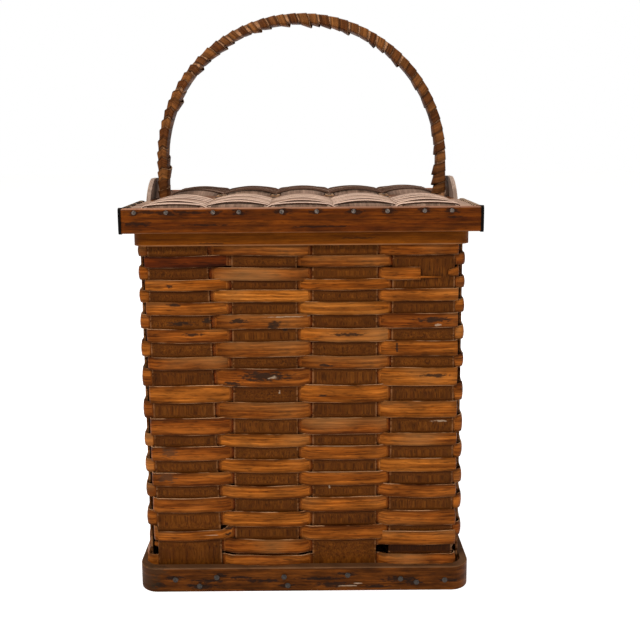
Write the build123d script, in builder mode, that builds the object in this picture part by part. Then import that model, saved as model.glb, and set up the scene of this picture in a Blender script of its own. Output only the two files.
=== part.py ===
from build123d import *
import math
import os

# Picnic basket of woven ash splint, in millimetres.
# X runs along the long wall, Y from front to back and Z up.
# The origin is on the ground, in the middle of the base.
os.makedirs("parts", exist_ok=True)

# Basket body. The wall sizes are to the middle of the stakes' thickness.
wall_half_x = 107.5
wall_half_y = 78.0
corner_radius = 5.8
long_wall_stakes = 4
short_wall_stakes = 3
long_stake_width = 43.5
short_stake_width = 42.0
stake_thickness = 1.6

# Weave of the walls
weaver_thickness = 1.0
weaver_crown = 1.0
tucked_crown = 0.2
weave_clearance = 0.1
weave_turn = 0.8
course_gap = 0.3
missing_course_gap = 1.4
broken_course = 3
break_from_x = 80.0
break_to_x = 99.0
base_course_count = 2

# Widths of the weavers that make the courses, from the rim down. The course after
# the 23rd is gone, and those above and below it have closed up on its place.
course_widths = [7.0, 7.1, 8.2, 7.1, 7.8, 8.3, 9.3, 8.7, 9.8, 8.2, 11.8, 10.9]
course_widths += [11.0, 11.1, 8.4, 9.3, 8.7, 9.0, 8.6, 9.9, 10.2, 9.6, 10.2, 8.9]
missing_course = 24

# Base
hoop_height = 17.3
hoop_thickness = 5.0
hoop_edge_radius = 1.2
board_height = 12.0

# Rims
rim_height = 20.6
weave_top = 241.4
outer_rim_thickness = 3.5
inner_rim_thickness = 2.5
inner_rim_rise = 1.6

# Handle
handle_depth = 12.0
handle_thickness = 5.0
handle_spring_z = 294.4
handle_foot_z = 185.0
handle_fit = 0.2
lining_thickness = 0.5
wrap_thickness = 0.8
wrap_turn_length = 6.9
wrap_turns_on_arch = 34
wrap_turns_on_leg = 3
wrap_clearance = 0.03

# Ears beside the handle
ear_thickness = 3.0
ear_width = 34.0
ear_drop = 24.0
ear_rise = 20.0
ear_lean = 2.0
ear_corner_radius = 12.0

# Centre board between the two lids
centre_board_thickness = 4.5
centre_board_width = 34.0
centre_board_end_gap = 0.3

# Hinges of the lids
hinge_offset = 4.5
rod_radius = 2.0
hinge_clearance = 0.08
strap_thickness = 1.0
strap_width = 6.5
strap_tail = 12.0
rod_end_gap = 0.6
curl_clearance = 0.02

# Lids
lid_stakes = 5
lid_stake_width = 34.0
lid_stake_pitch = 42.0
lid_stake_thickness = 1.3
lid_stake_bend_radius = 1.2
lid_tail_gap = 0.9
lid_weavers = 12
lid_weaver_width = 4.2
lid_weaver_crown = 2.4
lid_weaver_slope = 4.0
first_weaver_gap = 2.7
last_weaver_gap = 2.4
lid_running_gap = 0.3
lid_rest_gap = 0.04
side_rail_overhang = 1.8
side_rail_width = 4.0
side_rail_height = 8.0
side_rail_setback = 2.5
front_rail_thickness = 4.0
front_rail_height = 16.5
front_rail_corner_radius = 2.0
front_rail_step = 0.74
front_rail_edge_radius = 0.8
batten_inset = 0.4
batten_hinge_gap = 5.5

# Lashing of the lid's side rails
lashing_loops = 8
lashing_thickness = 0.9
lashing_width = 4.2
lashing_clearance = 0.1

# Tacks
tack_shank_radius = 0.6
tack_hole_clearance = 0.05
base_tack_head_radius = 1.8
base_tack_head_height = 0.6
base_tack_length = 12.0
rim_tack_head_radius = 1.5
rim_tack_head_height = 0.4
rim_tack_length = 6.6
rim_tack_drop = 6.0
ear_tack_length = 10.2
board_tack_length = 11.0
strap_tack_length = 4.0
rail_tack_length = 5.2
rail_tack_head_radius = 1.4
rail_tack_drop = 2.7

# Places where the front tacks of the base hoop were driven: along the wall, height
front_base_tacks = [
    (-89.0, 9.0),
    (-72.5, 4.2),
    (-60.5, 10.5),
    (-14.0, 10.5),
    (-11.5, 4.2),
    (30.0, 11.5),
    (66.5, 8.5),
    (77.5, 6.0),
    (97.0, 7.5),
]
# Places of the tacks along a lid's front rail
rail_tack_places = [-108.0, -87.3, -57.0, -40.2, -12.4, 10.2, 34.1, 56.0, 80.1, 97.7]
# Places of an ear's tacks: along the wall, below the top of the rims
ear_tack_places = [(0.0, 5.0), (0.0, 15.0), (-12.0, 10.0), (12.0, 10.0)]
base_tack_stagger = 2.1
board_tack_y = 13.5
strap_tack_inset = 3.0

# Sizes that follow from the ones above
half_stake = stake_thickness / 2
weave_offset = half_stake + weave_clearance + weaver_thickness / 2
weave_reach = weave_offset + weaver_thickness / 2
rim_top = weave_top + rim_height
hoop_inner = weave_reach + tucked_crown + weave_clearance
hoop_outer = hoop_inner + hoop_thickness
rim_outer = half_stake + outer_rim_thickness
rim_inner = half_stake + inner_rim_thickness
long_pitch = (2 * (wall_half_x - corner_radius) - long_stake_width) / (
    long_wall_stakes - 1
)
short_pitch = (2 * (wall_half_y - corner_radius) - short_stake_width) / (
    short_wall_stakes - 1
)
leg_outer = wall_half_x - half_stake
leg_inner = leg_outer - handle_thickness
leg_foot_outer = wall_half_x - weave_reach - tucked_crown - weave_clearance
board_top = rim_top + centre_board_thickness
hinge_y = centre_board_width / 2 + hinge_offset
hinge_z = board_top - rod_radius - hinge_clearance
curl_inner = rod_radius + curl_clearance
curl_outer = curl_inner + lid_stake_thickness
lid_mid_z = hinge_z + curl_inner + lid_stake_thickness / 2
lid_weave_offset = lid_stake_thickness / 2 + weave_clearance + weaver_thickness / 2
tucked_bottom_z = lid_mid_z - lid_weave_offset - weaver_thickness / 2
tail_inner_y = wall_half_y + rim_outer + lid_tail_gap
rail_back_y = tail_inner_y + lid_stake_thickness
rail_top_z = lid_mid_z + lid_stake_thickness / 2 - front_rail_step
side_rail_inner_x = wall_half_x + rim_outer + side_rail_overhang
side_rail_outer_x = side_rail_inner_x + side_rail_width
lid_seat_z = tucked_bottom_z - lid_rest_gap
first_weaver_y = hinge_y + curl_outer + first_weaver_gap
last_weaver_y = tail_inner_y - last_weaver_gap
wrap_pitch = math.pi * (leg_inner + handle_thickness / 2) / wrap_turns_on_arch

# Each stake as its wall, its place along the wall and its width, going round
# counter-clockwise from the front left corner
stakes = []
for wall in range(4):
    on_long_wall = wall % 2 == 0
    count = long_wall_stakes if on_long_wall else short_wall_stakes
    pitch = long_pitch if on_long_wall else short_pitch
    width = long_stake_width if on_long_wall else short_stake_width
    for number in range(count):
        stakes.append((wall, pitch * (number - (count - 1) / 2), width))
wall_names = ["front", "right", "back", "left"]


def save(part, name):
    part.label = name
    export_step(part, "parts/" + name + ".step")


def wall_point(wall, along, out):
    """Point in plan at a place along a wall and a distance out from its middle."""
    half = wall_half_y if wall % 2 == 0 else wall_half_x
    places = [
        (along, -half - out),
        (half + out, along),
        (-along, half + out),
        (-half - out, -along),
    ]
    return places[wall]


def wall_plane(wall, along, out, height):
    """Plane that faces out of a wall, with its origin at the given place."""
    x, y = wall_point(wall, along, out)
    normals = [(0, -1, 0), (1, 0, 0), (0, 1, 0), (-1, 0, 0)]
    return Plane(origin=(x, y, height), x_dir=(0, 0, 1), z_dir=normals[wall])


def ring_sketch(outer, inner):
    """Rounded rectangular band in plan between two distances out of the wall."""
    for out, mode in ((outer, Mode.ADD), (inner, Mode.SUBTRACT)):
        RectangleRounded(
            2 * (wall_half_x + out),
            2 * (wall_half_y + out),
            corner_radius + out,
            mode=mode,
        )


def drive_tacks(planes, head_radius, head_height, length):
    """Adds a tack with its head on each plane and its shank behind it."""
    with Locations(*planes):
        Cylinder(
            head_radius, head_height, align=(Align.CENTER, Align.CENTER, Align.MIN)
        )
        Cylinder(
            tack_shank_radius, length, align=(Align.CENTER, Align.CENTER, Align.MAX)
        )


def drill_tacks(planes, length):
    """Cuts the hole that each tack's shank sits in."""
    with Locations(*planes):
        Cylinder(
            tack_shank_radius + tack_hole_clearance,
            length + tack_hole_clearance,
            align=(Align.CENTER, Align.CENTER, Align.MAX),
            mode=Mode.SUBTRACT,
        )


# Tack places. Each stake takes two tacks through the base hoop, and one through
# the rims, except where the ears hold the rims.
base_planes = {wall: [] for wall in range(4)}
rim_planes = {wall: [] for wall in range(4)}
for wall, centre, width in stakes:
    if wall > 0:
        for side in (-1, 1):
            place = centre + side * width / 4
            height = hoop_height / 2 + side * base_tack_stagger
            base_planes[wall].append(wall_plane(wall, place, hoop_outer, height))
    if wall % 2 == 0 or abs(centre) > width / 2:
        rim_planes[wall].append(
            wall_plane(wall, centre, rim_outer, rim_top - rim_tack_drop)
        )
for place, height in front_base_tacks:
    base_planes[0].append(wall_plane(0, place, hoop_outer, height))
all_base_planes = sum(base_planes.values(), [])
all_rim_planes = sum(rim_planes.values(), [])

ear_out = rim_outer + ear_thickness
ear_planes = {wall: [] for wall in (1, 3)}
for wall in (1, 3):
    for along, drop in ear_tack_places:
        ear_planes[wall].append(wall_plane(wall, along, ear_out, rim_top - drop))
all_ear_planes = ear_planes[1] + ear_planes[3]

board_tack_x = leg_outer - inner_rim_thickness / 2
board_planes = []
strap_planes = []
strap_places = [lid_stake_pitch * step for step in (-1.5, -0.5, 0.5, 1.5)]
for side in (-1, 1):
    for end in (-1, 1):
        board_planes.append(
            Plane((end * board_tack_x, side * board_tack_y, board_top))
        )
    for x in strap_places:
        strap_y = side * (hinge_y - strap_tail + strap_tack_inset)
        strap_planes.append(Plane((x, strap_y, board_top + strap_thickness)))

# Base board, hoop and their tacks
with BuildPart() as base_board:
    with BuildSketch():
        RectangleRounded(
            2 * (wall_half_x - hoop_inner),
            2 * (wall_half_y - hoop_inner),
            corner_radius - hoop_inner,
        )
    extrude(amount=board_height)
    drill_tacks(all_base_planes, base_tack_length)
save(base_board.part, "base_board")

with BuildPart() as base_hoop:
    with BuildSketch():
        ring_sketch(hoop_outer, hoop_inner)
    extrude(amount=hoop_height)
    rims = base_hoop.faces().sort_by(Axis.Z)[-1].outer_wire().edges()
    fillet(rims, radius=hoop_edge_radius)
    drill_tacks(all_base_planes, base_tack_length)
save(base_hoop.part, "base_hoop")

with BuildPart() as base_tacks:
    drive_tacks(
        all_base_planes, base_tack_head_radius, base_tack_head_height, base_tack_length
    )
save(base_tacks.part, "base_tacks")

# Upright stakes
wall_counts = [0, 0, 0, 0]
for wall, centre, width in stakes:
    wall_counts[wall] += 1
    foot = wall_plane(wall, centre, 0, 0)
    with BuildPart() as stake:
        with BuildSketch(Plane(foot.origin, x_dir=foot.z_dir, z_dir=(0, 0, 1))):
            Rectangle(stake_thickness, width)
        extrude(amount=rim_top)
        drill_tacks(base_planes[wall], base_tack_length)
        drill_tacks(rim_planes[wall], rim_tack_length)
        if wall in ear_planes:
            drill_tacks(ear_planes[wall], ear_tack_length)
    save(stake.part, wall_names[wall] + "_stake_" + str(wall_counts[wall]))


def course_outline(course, skin, crown):
    """One face of a weaver in plan, over and under each stake in turn."""
    spans = []
    for index, (wall, centre, width) in enumerate(stakes):
        side = 1 if (index + course) % 2 == 0 else -1
        bulge = crown if side > 0 else tucked_crown
        out = side * weave_offset + skin
        reach = width / 2 + weave_turn
        start = wall_point(wall, centre - reach, out)
        middle = wall_point(wall, centre, out + side * bulge)
        end = wall_point(wall, centre + reach, out)
        spans.append((wall, start, middle, end))
    for span, following in zip(spans, spans[1:] + spans[:1]):
        wall, start, middle, end = span
        ThreePointArc(start, middle, end)
        if following[0] == wall:
            Line(end, following[1])
        else:
            turn_corner(wall, end, following[1])


def turn_corner(wall, start, end):
    """Quarter turn from one wall to the next, with a straight run where one is left."""
    first, last = Vector(*start), Vector(*end)
    along = Vector(*wall_point(wall, 1, 0)) - Vector(*wall_point(wall, 0, 0))
    across = Vector(*wall_point((wall + 1) % 4, 1, 0)) - Vector(
        *wall_point((wall + 1) % 4, 0, 0)
    )
    run = (last - first).dot(along)
    rise = (last - first).dot(across)
    radius = min(run, rise)
    arc_start = first + along * (run - radius)
    arc_end = last - across * (rise - radius)
    centre = arc_start + across * radius
    arc_middle = centre + (along - across) * (radius * math.sqrt(0.5))
    if run > radius:
        Line(first, arc_start)
    ThreePointArc(arc_start, arc_middle, arc_end)
    if rise > radius:
        Line(arc_end, last)


def weave_course(course, bottom, height, crown):
    """Adds one closed weaver to the part in hand."""
    with BuildSketch(Plane.XY.offset(bottom)) as band:
        with BuildLine():
            course_outline(course, weaver_thickness / 2, crown)
        make_face()
        with BuildLine():
            course_outline(course, -weaver_thickness / 2, crown)
        make_face(mode=Mode.SUBTRACT)
    extrude(band.sketch, amount=height)


# Courses as their number and their lower and upper edges, from the rim down
courses = []
course_top = weave_top
for place, width in enumerate(course_widths):
    number = place + 1 if place + 1 < missing_course else place + 2
    if number == missing_course + 1:
        course_top += course_gap - missing_course_gap
    courses.append((number, course_top - width, course_top))
    course_top -= width + course_gap
last_number, last_bottom, last_top = courses[-1]

# Courses of the wall, two to a node. The lowest one passes behind the base hoop.
for pair in zip(courses[0::2], courses[1::2]):
    with BuildPart() as weavers:
        for number, bottom, top in pair:
            crown = tucked_crown if number == last_number else weaver_crown
            weave_course(number, bottom, top - bottom, crown)
            if number == broken_course:
                with BuildSketch(Plane.XY.offset(bottom)):
                    with Locations(((break_from_x + break_to_x) / 2, -wall_half_y)):
                        Rectangle(break_to_x - break_from_x, 4 * weave_reach)
                extrude(amount=top - bottom, mode=Mode.SUBTRACT)
        drill_tacks(all_base_planes, base_tack_length)
    save(weavers.part, "weaver_courses_" + str(pair[0][0]) + "_" + str(pair[1][0]))

# More courses between the base hoop and the board
with BuildPart() as base_courses:
    base_pitch = last_bottom / base_course_count
    for step in range(base_course_count):
        weave_course(
            last_number + 1 + step,
            last_bottom - base_pitch * (step + 1) + course_gap / 2,
            base_pitch - course_gap,
            tucked_crown,
        )
    drill_tacks(all_base_planes, base_tack_length)
save(base_courses.part, "base_courses")

# Rims. The inner rim is in two halves that butt against the handle's legs.
with BuildPart() as outer_rim:
    with BuildSketch(Plane.XY.offset(weave_top)):
        ring_sketch(rim_outer, half_stake)
    extrude(amount=rim_height)
    drill_tacks(all_rim_planes, rim_tack_length)
    drill_tacks(all_ear_planes, ear_tack_length)
save(outer_rim.part, "outer_rim")

with BuildPart() as inner_rim:
    with BuildSketch(Plane.XY.offset(weave_top + inner_rim_rise)):
        ring_sketch(-half_stake, -rim_inner)
        Rectangle(
            2 * wall_half_x, handle_depth + 2 * handle_fit, mode=Mode.SUBTRACT
        )
    extrude(amount=rim_height - inner_rim_rise)
    drill_tacks(all_rim_planes, rim_tack_length)
    drill_tacks(all_ear_planes, ear_tack_length)
    drill_tacks(board_planes, board_tack_length)
save(inner_rim.part, "inner_rim")

with BuildPart() as rim_tacks:
    drive_tacks(
        all_rim_planes, rim_tack_head_radius, rim_tack_head_height, rim_tack_length
    )
    drive_tacks(
        all_ear_planes, rim_tack_head_radius, rim_tack_head_height, ear_tack_length
    )
save(rim_tacks.part, "rim_tacks")

# Ears: thin plates outside the rim, with rounded tops that lean in a little
for wall, name in ((3, "left_ear"), (1, "right_ear")):
    side = 1 if wall == 1 else -1
    face_x = wall_half_x + rim_outer
    bend_z = board_top + centre_board_end_gap
    tip_z = rim_top + ear_rise
    with BuildPart() as ear:
        with BuildSketch(Plane.XZ):
            with BuildLine():
                Polyline(
                    (side * face_x, rim_top - ear_drop),
                    (side * (face_x + ear_thickness), rim_top - ear_drop),
                    (side * (face_x + ear_thickness), bend_z),
                    (side * (face_x + ear_thickness - ear_lean), tip_z),
                    (side * (face_x - ear_lean), tip_z),
                    (side * face_x, bend_z),
                    close=True,
                )
            make_face()
        extrude(amount=ear_width / 2, both=True)
        crown_edges = (
            ear.edges().filter_by(lambda edge: abs(edge.center().Z - tip_z) < 0.001)
        ).filter_by(Axis.X)
        fillet(crown_edges, radius=ear_corner_radius)
        drill_tacks(ear_planes[wall], ear_tack_length)
    save(ear.part, name)


def arch_outline(outer, inner, foot_z):
    """Upside-down U in the XZ plane: two legs and a half circle."""
    with BuildLine() as outline:
        Line((outer, foot_z), (outer, handle_spring_z))
        ThreePointArc(
            (outer, handle_spring_z),
            (0, handle_spring_z + outer),
            (-outer, handle_spring_z),
        )
        Line((-outer, handle_spring_z), (-outer, foot_z))
        Line((-outer, foot_z), (-inner, foot_z))
        Line((-inner, foot_z), (-inner, handle_spring_z))
        ThreePointArc(
            (-inner, handle_spring_z),
            (0, handle_spring_z + inner),
            (inner, handle_spring_z),
        )
        Line((inner, handle_spring_z), (inner, foot_z))
        Line((inner, foot_z), (outer, foot_z))
    make_face(outline.edges())


# Handle: a bent bow whose legs are thinned below the rim to lie inside the weave
with BuildPart() as handle_hoop:
    with BuildSketch(Plane.XZ):
        arch_outline(leg_outer, leg_inner, handle_foot_z)
        for side in (-1, 1):
            shoulder_z = weave_top + 2 * weave_clearance
            with BuildLine():
                Polyline(
                    (side * leg_foot_outer, handle_foot_z),
                    (side * leg_foot_outer, shoulder_z),
                    (side * leg_outer, shoulder_z + leg_outer - leg_foot_outer),
                    (side * leg_outer, handle_foot_z),
                    close=True,
                )
            make_face(mode=Mode.SUBTRACT)
    extrude(amount=handle_depth / 2, both=True)
    drill_tacks(all_ear_planes, ear_tack_length)
save(handle_hoop.part, "handle_hoop")

# Handle wrap: a thin lining all along the bow, and the splint's turns raised on it
wrap_foot_z = board_top + handle_fit
lining_out = wrap_clearance + lining_thickness
turn_out = lining_out + wrap_thickness
half_turn = math.degrees(wrap_turn_length / 2 / (leg_inner + handle_thickness / 2))
with BuildPart() as handle_wrap:
    with BuildSketch(Plane.XZ):
        arch_outline(leg_outer + lining_out, leg_inner - lining_out, wrap_foot_z)
    extrude(amount=handle_depth / 2 + lining_out, both=True)
    with BuildSketch(Plane.XZ):
        for turn in range(wrap_turns_on_arch):
            angle = 180 * (turn + 0.5) / wrap_turns_on_arch
            with BuildLine():
                corners = []
                for radius, sweep in (
                    (leg_inner - turn_out, (-half_turn, 0, half_turn)),
                    (leg_outer + turn_out, (half_turn, 0, -half_turn)),
                ):
                    arc = []
                    for step in sweep:
                        bearing = math.radians(angle + step)
                        arc.append(
                            (
                                radius * math.cos(bearing),
                                handle_spring_z + radius * math.sin(bearing),
                            )
                        )
                    ThreePointArc(*arc)
                    corners += [arc[0], arc[2]]
                Line(corners[1], corners[2])
                Line(corners[3], corners[0])
            make_face()
        for side in (-1, 1):
            for turn in range(wrap_turns_on_leg):
                leg_x = side * (leg_inner + handle_thickness / 2)
                turn_z = handle_spring_z - wrap_pitch * (turn + 0.5)
                with Locations((leg_x, turn_z)):
                    Rectangle(handle_thickness + 2 * turn_out, wrap_turn_length)
    extrude(amount=handle_depth / 2 + turn_out, both=True)
    with BuildSketch(Plane.XZ):
        arch_outline(leg_outer + wrap_clearance, leg_inner - wrap_clearance, board_top)
    extrude(amount=handle_depth / 2 + wrap_clearance, both=True, mode=Mode.SUBTRACT)
save(handle_wrap.part, "handle_wrap")

# Centre board, which the handle's legs pass through
with BuildPart() as centre_board:
    with BuildSketch(Plane.XY.offset(rim_top)):
        Rectangle(
            2 * (wall_half_x + rim_outer - centre_board_end_gap), centre_board_width
        )
        with Locations(
            ((leg_inner + leg_outer) / 2, 0), (-(leg_inner + leg_outer) / 2, 0)
        ):
            Rectangle(
                handle_thickness + 2 * handle_fit,
                handle_depth + 2 * handle_fit,
                mode=Mode.SUBTRACT,
            )
    extrude(amount=centre_board_thickness)
    drill_tacks(board_planes, board_tack_length)
    drill_tacks(strap_planes, strap_tack_length)
save(centre_board.part, "centre_board")

# Hinge straps: splint loops round the lids' rods, tacked down on the board
with BuildPart() as hinge_straps:
    for x in strap_places:
        for side in (-1, 1):
            with BuildSketch(Plane.YZ.offset(x)):
                with Locations((side * hinge_y, hinge_z)):
                    Circle(rod_radius + hinge_clearance + strap_thickness)
                with Locations(
                    (side * (hinge_y - strap_tail / 2), board_top + strap_thickness / 2)
                ):
                    Rectangle(strap_tail, strap_thickness)
                with Locations((side * hinge_y, hinge_z)):
                    Circle(rod_radius + hinge_clearance, mode=Mode.SUBTRACT)
            extrude(amount=strap_width / 2, both=True)
    drill_tacks(strap_planes, strap_tack_length)
save(hinge_straps.part, "hinge_straps")

with BuildPart() as board_tacks:
    drive_tacks(
        board_planes, rim_tack_head_radius, rim_tack_head_height, board_tack_length
    )
    drive_tacks(
        strap_planes, rim_tack_head_radius, rim_tack_head_height, strap_tack_length
    )
save(board_tacks.part, "board_tacks")


def lid_weaver_line(row, skin):
    """One face of a lid weaver in the XZ plane, with its two end points."""
    height = lid_mid_z - lid_weave_offset + skin
    place = (-side_rail_outer_x, height)
    first = place
    for number in range(lid_stakes):
        centre = lid_stake_pitch * (number - (lid_stakes - 1) / 2)
        reach = lid_stake_width / 2 + weave_turn
        over = (number + row) % 2 == 1
        level = height + (2 * lid_weave_offset if over else 0)
        entry = (centre - reach, level)
        leave = (centre + reach, level)
        if number == 0:
            foot = (centre - reach - lid_weaver_slope, height)
            Line(place, foot)
            place = foot
        Line(place, entry)
        if over:
            ThreePointArc(entry, (centre, level + lid_weaver_crown), leave)
        else:
            Line(entry, leave)
        place = leave
    foot = (place[0] + lid_weaver_slope, height)
    last = (side_rail_outer_x, height)
    Line(place, foot)
    Line(foot, last)
    return first, last


# The two lids are alike. Side is -1 for the front one and 1 for the back one.
for side, lid in ((-1, "front_lid"), (1, "back_lid")):
    rail_front_y = rail_back_y + front_rail_thickness
    rail_planes = [
        Plane(
            origin=(x, side * rail_front_y, rail_top_z - rail_tack_drop),
            x_dir=(0, 0, 1),
            z_dir=(0, side, 0),
        )
        for x in rail_tack_places
    ]

    with BuildPart() as rail:
        with BuildSketch(Plane.XZ.offset(-side * rail_back_y)):
            with Locations((0, rail_top_z - front_rail_height / 2)):
                RectangleRounded(
                    2 * side_rail_outer_x, front_rail_height, front_rail_corner_radius
                )
        extrude(amount=-side * front_rail_thickness)
        front_edges = rail.faces().sort_by(Axis.Y)[0 if side < 0 else -1].edges()
        fillet(front_edges, radius=front_rail_edge_radius)
        drill_tacks(rail_planes, rail_tack_length)
    save(rail.part, lid + "_rail")

    with BuildPart() as rail_tacks:
        drive_tacks(
            rail_planes, rail_tack_head_radius, base_tack_head_height, rail_tack_length
        )
    save(rail_tacks.part, lid + "_tacks")

    rail_start_y = hinge_y + side_rail_setback
    rail_run = rail_back_y - rail_start_y
    with BuildPart() as side_rails:
        with BuildSketch(Plane.XY.offset(lid_seat_z - side_rail_height)):
            for end in (-1, 1):
                with Locations(
                    (
                        end * (side_rail_inner_x + side_rail_width / 2),
                        side * (rail_start_y + rail_run / 2),
                    )
                ):
                    Rectangle(side_rail_width, rail_run)
        extrude(amount=side_rail_height)
    save(side_rails.part, lid + "_side_rails")

    # Battens rest on the rims and carry the weavers' ends
    batten_inner_x = wall_half_x - rim_inner + batten_inset
    batten_outer_x = side_rail_inner_x - lashing_thickness - 2 * lashing_clearance
    batten_start_y = hinge_y + batten_hinge_gap
    batten_run = rail_back_y - batten_start_y
    with BuildPart() as battens:
        with BuildSketch(Plane.XY.offset(rim_top + lid_running_gap)):
            for end in (-1, 1):
                with Locations(
                    (
                        end * (batten_inner_x + batten_outer_x) / 2,
                        side * (batten_start_y + batten_run / 2),
                    )
                ):
                    Rectangle(batten_outer_x - batten_inner_x, batten_run)
        extrude(amount=lid_seat_z - rim_top - lid_running_gap)
        drill_tacks(rail_planes, rail_tack_length)
    save(battens.part, lid + "_battens")

    with BuildPart() as hinge_rod:
        with BuildSketch(Plane.YZ):
            with Locations((side * hinge_y, hinge_z)):
                Circle(rod_radius)
        extrude(amount=wall_half_x + rim_outer + rod_end_gap, both=True)
    save(hinge_rod.part, lid + "_hinge_rod")

    # Stakes curl round the rod at one end and turn down behind the rail at the other
    plate_top_z = lid_mid_z + lid_stake_thickness / 2
    plate_bottom_z = lid_mid_z - lid_stake_thickness / 2
    tail_end_z = rail_top_z - front_rail_height + lid_running_gap
    bend = lid_stake_bend_radius
    with BuildPart() as lid_stake_group:
        for number in range(lid_stakes):
            centre = lid_stake_pitch * (number - (lid_stakes - 1) / 2)
            with BuildSketch(Plane.YZ.offset(centre)):
                with Locations((side * hinge_y, hinge_z)):
                    Circle(curl_outer)
                with BuildLine():
                    Polyline(
                        (side * (rail_back_y - bend), plate_top_z),
                        (side * hinge_y, plate_top_z),
                        (side * hinge_y, plate_bottom_z),
                        (side * tail_inner_y, plate_bottom_z),
                        (side * tail_inner_y, tail_end_z),
                        (side * rail_back_y, tail_end_z),
                        (side * rail_back_y, plate_top_z - bend),
                    )
                    ThreePointArc(
                        (side * rail_back_y, plate_top_z - bend),
                        (
                            side * (rail_back_y - bend + bend * math.sqrt(0.5)),
                            plate_top_z - bend + bend * math.sqrt(0.5),
                        ),
                        (side * (rail_back_y - bend), plate_top_z),
                    )
                make_face()
                with Locations((side * hinge_y, hinge_z)):
                    Circle(curl_inner, mode=Mode.SUBTRACT)
            extrude(amount=lid_stake_width / 2, both=True)
        drill_tacks(rail_planes, rail_tack_length)
    save(lid_stake_group.part, lid + "_stakes")

    weaver_pitch = (last_weaver_y - first_weaver_y) / (lid_weavers - 1)
    with BuildPart() as lid_weaver_group:
        for row in range(lid_weavers):
            row_y = side * (first_weaver_y + weaver_pitch * row)
            with BuildSketch(Plane.XZ.offset(-row_y)):
                with BuildLine():
                    top_ends = lid_weaver_line(row, weaver_thickness / 2)
                    bottom_ends = lid_weaver_line(row, -weaver_thickness / 2)
                    Line(top_ends[0], bottom_ends[0])
                    Line(top_ends[1], bottom_ends[1])
                make_face()
            extrude(amount=lid_weaver_width / 2, both=True)
    save(lid_weaver_group.part, lid + "_weavers")

    # Lashing: each loop passes under the rail and over the weavers' ends
    rail_bottom_z = lid_seat_z - side_rail_height
    end_top_z = tucked_bottom_z + weaver_thickness
    loop_in_x = side_rail_inner_x - lashing_clearance
    loop_out_x = side_rail_outer_x + lashing_clearance
    loop_low_z = rail_bottom_z - lashing_clearance
    loop_high_z = end_top_z + lashing_clearance
    skin_in_x = loop_in_x - lashing_thickness
    skin_out_x = loop_out_x + lashing_thickness
    skin_low_z = loop_low_z - lashing_thickness
    skin_high_z = loop_high_z + lashing_thickness
    loop_pitch = (rail_back_y - batten_start_y - lashing_width) / lashing_loops
    with BuildPart() as lashing:
        for end in (-1, 1):
            for loop in range(lashing_loops):
                loop_y = side * (batten_start_y + loop_pitch * (loop + 0.5))
                with BuildSketch(Plane.XZ.offset(-loop_y)):
                    with BuildLine():
                        Polyline(
                            (end * skin_in_x, skin_low_z),
                            (end * skin_out_x, skin_low_z),
                            (end * skin_out_x, skin_high_z),
                            (end * skin_in_x, skin_high_z),
                            (end * skin_in_x, loop_high_z),
                            (end * loop_out_x, loop_high_z),
                            (end * loop_out_x, loop_low_z),
                            (end * loop_in_x, loop_low_z),
                            (end * loop_in_x, lid_seat_z),
                            (end * skin_in_x, lid_seat_z),
                            close=True,
                        )
                    make_face()
                extrude(amount=lashing_width / 2, both=True)
    save(lashing.part, lid + "_lashing")
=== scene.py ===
# %% [markdown]
# # A woven splint picnic basket
# The construction comes packed from CAD: every board, splint, rod and tack at its real size.
# This lesson lights it, gives each wood its grain and wear, and weaves the splints again with the
# small wobbles that a hand leaves.

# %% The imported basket
import bpy
import math
import random
from mathutils import Matrix, Vector, noise


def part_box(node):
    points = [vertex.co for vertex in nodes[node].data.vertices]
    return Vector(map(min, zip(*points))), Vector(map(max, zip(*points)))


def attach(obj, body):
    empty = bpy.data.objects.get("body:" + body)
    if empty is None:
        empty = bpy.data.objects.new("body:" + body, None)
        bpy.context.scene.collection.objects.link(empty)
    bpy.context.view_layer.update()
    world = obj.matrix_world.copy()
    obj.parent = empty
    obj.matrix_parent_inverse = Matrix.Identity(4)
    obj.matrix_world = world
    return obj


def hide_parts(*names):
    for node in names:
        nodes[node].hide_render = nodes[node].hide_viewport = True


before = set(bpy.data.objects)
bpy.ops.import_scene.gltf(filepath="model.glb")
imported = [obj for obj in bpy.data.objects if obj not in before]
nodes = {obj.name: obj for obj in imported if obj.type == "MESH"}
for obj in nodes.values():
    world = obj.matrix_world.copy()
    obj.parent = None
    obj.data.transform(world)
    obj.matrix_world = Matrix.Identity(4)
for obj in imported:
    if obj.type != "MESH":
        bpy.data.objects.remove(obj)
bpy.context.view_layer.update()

# %% [markdown]
# ## Camera
# The basket was photographed from a little above its lid, from about half a metre. A short lens
# that close makes the walls seem to taper. The picture was cropped low, which a small vertical
# shift repeats.

# %% Camera
PICTURE = 640
SENSOR = 0.036
focal_px = 776.7
principal_px = (310.8, 233.0)
camera_place = (0.0063, -0.5885, 0.3131)
camera_pitch, camera_roll = math.radians(7.16), math.radians(0.44)

camera_data = bpy.data.cameras.new("camera")
camera = bpy.data.objects.new("camera", camera_data)
bpy.context.collection.objects.link(camera)
camera_data.sensor_width = SENSOR * 1000
camera_data.lens = focal_px / PICTURE * SENSOR * 1000
camera_data.shift_x = (PICTURE / 2 - principal_px[0]) / PICTURE
camera_data.shift_y = (principal_px[1] - PICTURE / 2) / PICTURE
camera.location = camera_place
pitched = Matrix.Rotation(math.pi / 2 - camera_pitch, 4, "X")
rolled = Matrix.Rotation(-camera_roll, 4, "Z")
camera.rotation_euler = (pitched @ rolled).to_euler()
bpy.context.scene.camera = camera
print("lens", round(camera_data.lens, 2), "mm")

# %% [markdown]
# ## Studio
# A sheet of pale paper under soft lamps. It is white to the camera, but to the basket it is only a
# pale surface, so that it doesn't wash out the varnish. It still takes a shadow.

# %% Helpers for node trees
def new_material(name):
    """A material with an empty tree, and its tree."""
    made = bpy.data.materials.new(name)
    made.use_nodes = True
    made.node_tree.nodes.clear()
    return made, made.node_tree


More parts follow.
